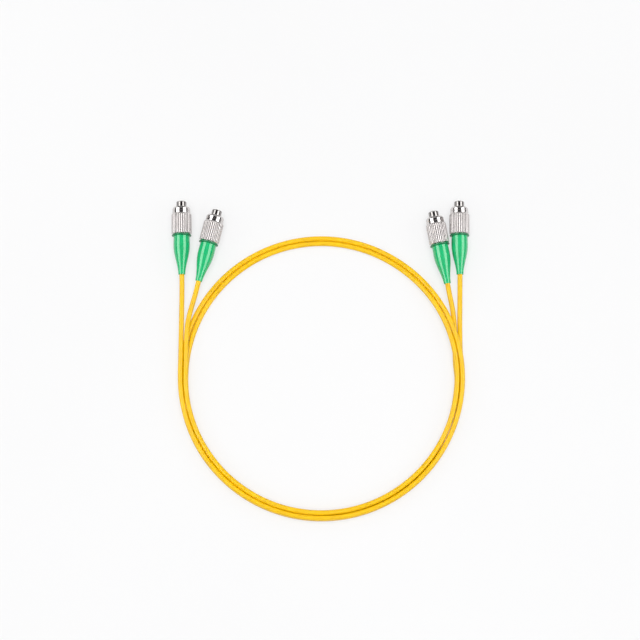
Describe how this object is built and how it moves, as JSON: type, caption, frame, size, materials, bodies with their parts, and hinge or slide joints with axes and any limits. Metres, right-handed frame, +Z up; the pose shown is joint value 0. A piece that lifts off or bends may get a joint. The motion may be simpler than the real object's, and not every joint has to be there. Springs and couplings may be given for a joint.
{
  "type": "fiber optic patch cord",
  "caption": "Duplex fibre patch cord: yellow simplex cords wound in a round coil, each end in a threaded ferrule connector with a knurled coupling nut and a green strain-relief boot.",
  "frame": {"origin": "on the plane the cord lies on, in the middle of the box around the connectors", "axes": "+X along the row of connectors, +Y the way the ferrule tips point, +Z up from the plane it lies on"},
  "size_m": [0.1495, 0.1598, 0.01],
  "materials": {
    "nut_nickel": "bright nickel plate",
    "barrel_nickel": "bright nickel plate",
    "inner_nickel": "satin nickel plate",
    "spring_steel": "bright steel",
    "crimp_metal": "satin",
    "zirconia": "polished zirconia",
    "aramid": "yarn",
    "fibre_buffer": "smooth",
    "boot_green": "smooth elastomer",
    "cord_jacket": "smooth jacket"
  },
  "bodies": {
    "cords": {"left_outer_barrel": "barrel_nickel", "left_outer_spring": "spring_steel", "left_outer_rear_body": "inner_nickel", "left_outer_aramid_yarn": "aramid", "left_outer_crimp_sleeve": "crimp_metal", "left_outer_buffered_fibre": "fibre_buffer", "left_outer_boot": "boot_green", "left_outer_cord_tail": "cord_jacket", "left_inner_barrel": "barrel_nickel", "left_inner_spring": "spring_steel", "left_inner_rear_body": "inner_nickel", "left_inner_aramid_yarn": "aramid", "left_inner_crimp_sleeve": "crimp_metal", "left_inner_buffered_fibre": "fibre_buffer", "left_inner_boot": "boot_green", "left_inner_cord_tail": "cord_jacket", "right_inner_barrel": "barrel_nickel", "right_inner_spring": "spring_steel", "right_inner_rear_body": "inner_nickel", "right_inner_aramid_yarn": "aramid", "right_inner_crimp_sleeve": "crimp_metal", "right_inner_buffered_fibre": "fibre_buffer", "right_inner_boot": "boot_green", "right_inner_cord_tail": "cord_jacket", "right_outer_barrel": "barrel_nickel", "right_outer_spring": "spring_steel", "right_outer_rear_body": "inner_nickel", "right_outer_aramid_yarn": "aramid", "right_outer_crimp_sleeve": "crimp_metal", "right_outer_buffered_fibre": "fibre_buffer", "right_outer_boot": "boot_green", "right_outer_cord_tail": "cord_jacket", "outer_cord_coil": "cord_jacket", "inner_cord_coil": "cord_jacket"},
    "left_outer_ring": {"left_outer_retaining_ring": "spring_steel"},
    "left_outer_nut": {"left_outer_coupling_nut": "nut_nickel"},
    "left_outer_ferrule": {"left_outer_ferrule": "zirconia", "left_outer_ferrule_flange": "inner_nickel"},
    "left_inner_ring": {"left_inner_retaining_ring": "spring_steel"},
    "left_inner_nut": {"left_inner_coupling_nut": "nut_nickel"},
    "left_inner_ferrule": {"left_inner_ferrule": "zirconia", "left_inner_ferrule_flange": "inner_nickel"},
    "right_inner_ring": {"right_inner_retaining_ring": "spring_steel"},
    "right_inner_nut": {"right_inner_coupling_nut": "nut_nickel"},
    "right_inner_ferrule": {"right_inner_ferrule": "zirconia", "right_inner_ferrule_flange": "inner_nickel"},
    "right_outer_ring": {"right_outer_retaining_ring": "spring_steel"},
    "right_outer_nut": {"right_outer_coupling_nut": "nut_nickel"},
    "right_outer_ferrule": {"right_outer_ferrule": "zirconia", "right_outer_ferrule_flange": "inner_nickel"}
  },
  "joints": [
    {"name": "left_outer_nut_slide", "type": "slide", "parent": "cords", "child": "left_outer_ring", "axis": [-0.0209, 0.9998, 0], "range_m": [0, 0.003]},
    {"name": "left_outer_nut_spin", "type": "hinge", "parent": "left_outer_ring", "child": "left_outer_nut", "pos_m": [-0.06982, 0.01039, 0.005], "axis": [-0.0209, 0.9998, 0], "continuous": true},
    {"name": "left_outer_ferrule_press", "type": "slide", "parent": "cords", "child": "left_outer_ferrule", "axis": [0.0209, -0.9998, 0], "range_m": [0, 0.0018], "stiffness_N_per_m": 3000, "deforming": ["left_outer_spring"]},
    {"name": "left_inner_nut_slide", "type": "slide", "parent": "cords", "child": "left_inner_ring", "axis": [0.2385, 0.9711, 0], "range_m": [0, 0.003]},
    {"name": "left_inner_nut_spin", "type": "hinge", "parent": "left_inner_ring", "child": "left_inner_nut", "pos_m": [-0.05441, 0.00622, 0.005], "axis": [0.2385, 0.9711, 0], "continuous": true},
    {"name": "left_inner_ferrule_press", "type": "slide", "parent": "cords", "child": "left_inner_ferrule", "axis": [-0.2385, -0.9711, 0], "range_m": [0, 0.0018], "stiffness_N_per_m": 3000, "deforming": ["left_inner_spring"]},
    {"name": "right_inner_nut_slide", "type": "slide", "parent": "cords", "child": "right_inner_ring", "axis": [-0.1788, 0.9839, 0], "range_m": [0, 0.003]},
    {"name": "right_inner_nut_spin", "type": "hinge", "parent": "right_inner_ring", "child": "right_inner_nut", "pos_m": [0.05832, 0.00536, 0.005], "axis": [-0.1788, 0.9839, 0], "continuous": true},
    {"name": "right_inner_ferrule_press", "type": "slide", "parent": "cords", "child": "right_inner_ferrule", "axis": [0.1788, -0.9839, 0], "range_m": [0, 0.0018], "stiffness_N_per_m": 3000, "deforming": ["right_inner_spring"]},
    {"name": "right_outer_nut_slide", "type": "slide", "parent": "cords", "child": "right_outer_ring", "axis": [0.0035, 1, 0], "range_m": [0, 0.003]},
    {"name": "right_outer_nut_spin", "type": "hinge", "parent": "right_outer_ring", "child": "right_outer_nut", "pos_m": [0.06954, 0.0104, 0.005], "axis": [0.0035, 1, 0], "continuous": true},
    {"name": "right_outer_ferrule_press", "type": "slide", "parent": "cords", "child": "right_outer_ferrule", "axis": [-0.0035, -1, 0], "range_m": [0, 0.0018], "stiffness_N_per_m": 3000, "deforming": ["right_outer_spring"]}
  ]
}
